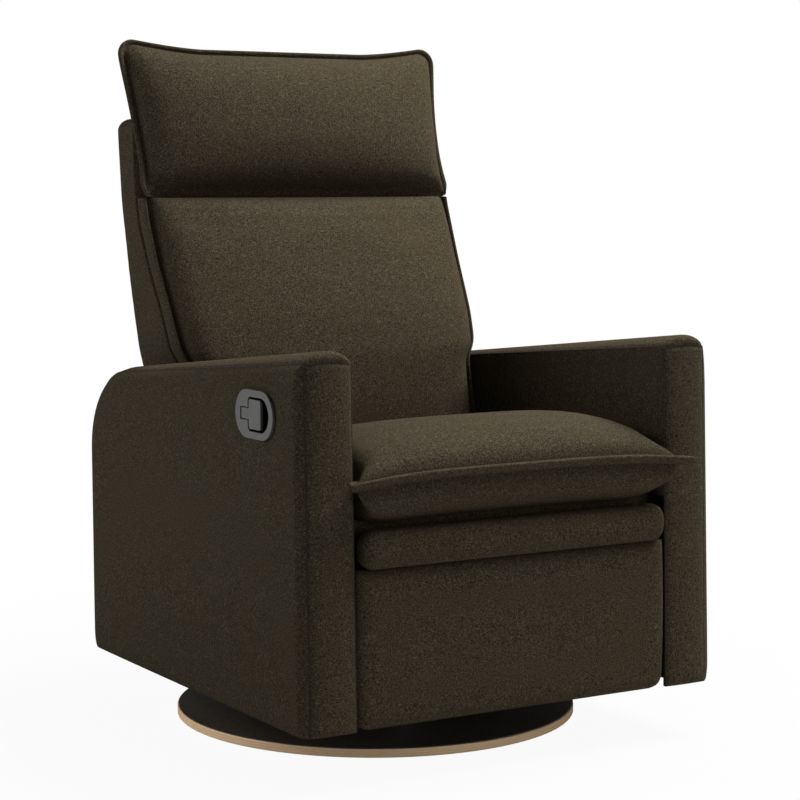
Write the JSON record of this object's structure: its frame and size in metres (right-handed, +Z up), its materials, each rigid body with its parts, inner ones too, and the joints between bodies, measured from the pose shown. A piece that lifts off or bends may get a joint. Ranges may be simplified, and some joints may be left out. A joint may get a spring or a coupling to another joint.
{
  "type": "swivel rocking chair",
  "caption": "Upholstered swivel chair on a round base that glides fore and aft, with a reclining back, a fold-out footrest and a pull handle in one arm.",
  "frame": {"origin": "on the floor on the swivel axis, at the centre of the underside of the base", "axes": "+Z up, the chair faces -Y, +X to the right of a person facing the chair"},
  "size_m": [0.732, 0.818, 1.0933],
  "materials": {
    "upholstery": "woven wool-like cloth",
    "felt": "felt",
    "plywood": "clear lacquer",
    "base_top": "satin",
    "mechanism_steel": "satin black",
    "bright_steel": "zinc plated",
    "frame_wood": "raw",
    "handle_plastic": "matt",
    "cable_sheath": "matt"
  },
  "bodies": {
    "base": {"base_felt": "felt", "base_disc": "plywood", "base_cover": "base_top", "swivel_lower_plate": "mechanism_steel", "swivel_lower_race": "bright_steel", "swivel_balls": "bright_steel", "king_pin": "bright_steel", "king_nut": "bright_steel"},
    "swivel_frame": {"swivel_upper_race": "bright_steel", "swivel_upper_plate": "mechanism_steel", "glide_cross_bars": "mechanism_steel", "glide_stands": "mechanism_steel"},
    "front_swing": {"front_swing_links": "mechanism_steel", "front_swing_shaft": "bright_steel"},
    "rear_swing": {"rear_swing_links": "mechanism_steel", "rear_swing_shaft": "bright_steel"},
    "chair": {"mechanism_plates": "mechanism_steel", "glide_pins": "bright_steel", "mechanism_mounts": "mechanism_steel", "arm_frame_left": "frame_wood", "arm_frame_right": "frame_wood", "arm_outer_pad_left": "upholstery", "arm_outer_pad_right": "upholstery", "arm_inner_pad_left": "upholstery", "arm_inner_pad_right": "upholstery", "arm_top_band_left": "upholstery", "arm_top_band_right": "upholstery", "arm_front_band_left": "upholstery", "arm_front_band_right": "upholstery", "seat_front_rail": "frame_wood", "seat_rear_rail": "frame_wood", "seat_side_rails": "frame_wood", "seat_springs": "bright_steel", "seat_cushion": "upholstery", "rear_panel": "upholstery", "recline_brackets": "mechanism_steel", "recline_pins": "bright_steel", "handle_bezel": "handle_plastic", "handle_pin": "bright_steel", "release_cable": "cable_sheath"},
    "footrest_rear": {"footrest_rear_links": "mechanism_steel", "footrest_torque_tube": "bright_steel", "footrest_knee_pins": "bright_steel"},
    "footrest_front": {"footrest_front_links": "mechanism_steel"},
    "footrest": {"footrest_board": "frame_wood", "footrest_panel": "upholstery", "footrest_roll": "upholstery", "footrest_brackets": "mechanism_steel", "footrest_pins": "bright_steel"},
    "backrest": {"back_hinge_plates": "mechanism_steel", "back_stiles": "frame_wood", "back_lower_rail": "frame_wood", "back_upper_rail": "frame_wood", "back_shell": "upholstery", "lumbar_cushion": "upholstery", "headrest_cushion": "upholstery"},
    "handle": {"release_paddle": "handle_plastic"}
  },
  "joints": [
    {"name": "swivel", "type": "hinge", "parent": "base", "child": "swivel_frame", "pos_m": [0, 0, 0.03], "axis": [0, 0, 1], "continuous": true},
    {"name": "glide", "type": "hinge", "parent": "swivel_frame", "child": "front_swing", "pos_m": [0, -0.13, 0.225], "axis": [1, 0, 0], "range_deg": [-25, 25]},
    {"name": "glide_chair", "type": "hinge", "parent": "front_swing", "child": "chair", "pos_m": [0, -0.13, 0.125], "axis": [1, 0, 0], "range_deg": [-25, 25]},
    {"name": "glide_rear", "type": "hinge", "parent": "swivel_frame", "child": "rear_swing", "pos_m": [0, 0.13, 0.225], "axis": [1, 0, 0], "range_deg": [-25, 25]},
    {"name": "footrest_open", "type": "hinge", "parent": "chair", "child": "footrest_rear", "pos_m": [0, -0.25, 0.3], "axis": [-1, 0, 0], "range_deg": [0, 70]},
    {"name": "footrest_knee", "type": "hinge", "parent": "footrest_rear", "child": "footrest_front", "pos_m": [0, -0.30985, 0.13555], "axis": [-1, 0, 0], "range_deg": [-125, 0]},
    {"name": "footrest_tilt", "type": "hinge", "parent": "footrest_front", "child": "footrest", "pos_m": [0, -0.35515, 0.30459], "axis": [-1, 0, 0], "range_deg": [0, 137]},
    {"name": "recline", "type": "hinge", "parent": "chair", "child": "backrest", "pos_m": [0, 0.19, 0.362], "axis": [-1, 0, 0], "range_deg": [0, 32]},
    {"name": "release", "type": "hinge", "parent": "chair", "child": "handle", "pos_m": [-0.36, -0.2505, 0.53], "axis": [0, 0, -1], "range_deg": [0, 25], "stiffness_Nm_per_rad": 0.2}
  ],
  "couplings": [
    {"joint": "glide_chair", "follows": "glide", "ratio": -1},
    {"joint": "glide_rear", "follows": "glide", "ratio": 1},
    {"joint": "footrest_knee", "follows": "footrest_open", "ratio": -1.7857},
    {"joint": "footrest_tilt", "follows": "footrest_open", "ratio": 1.9571}
  ]
}
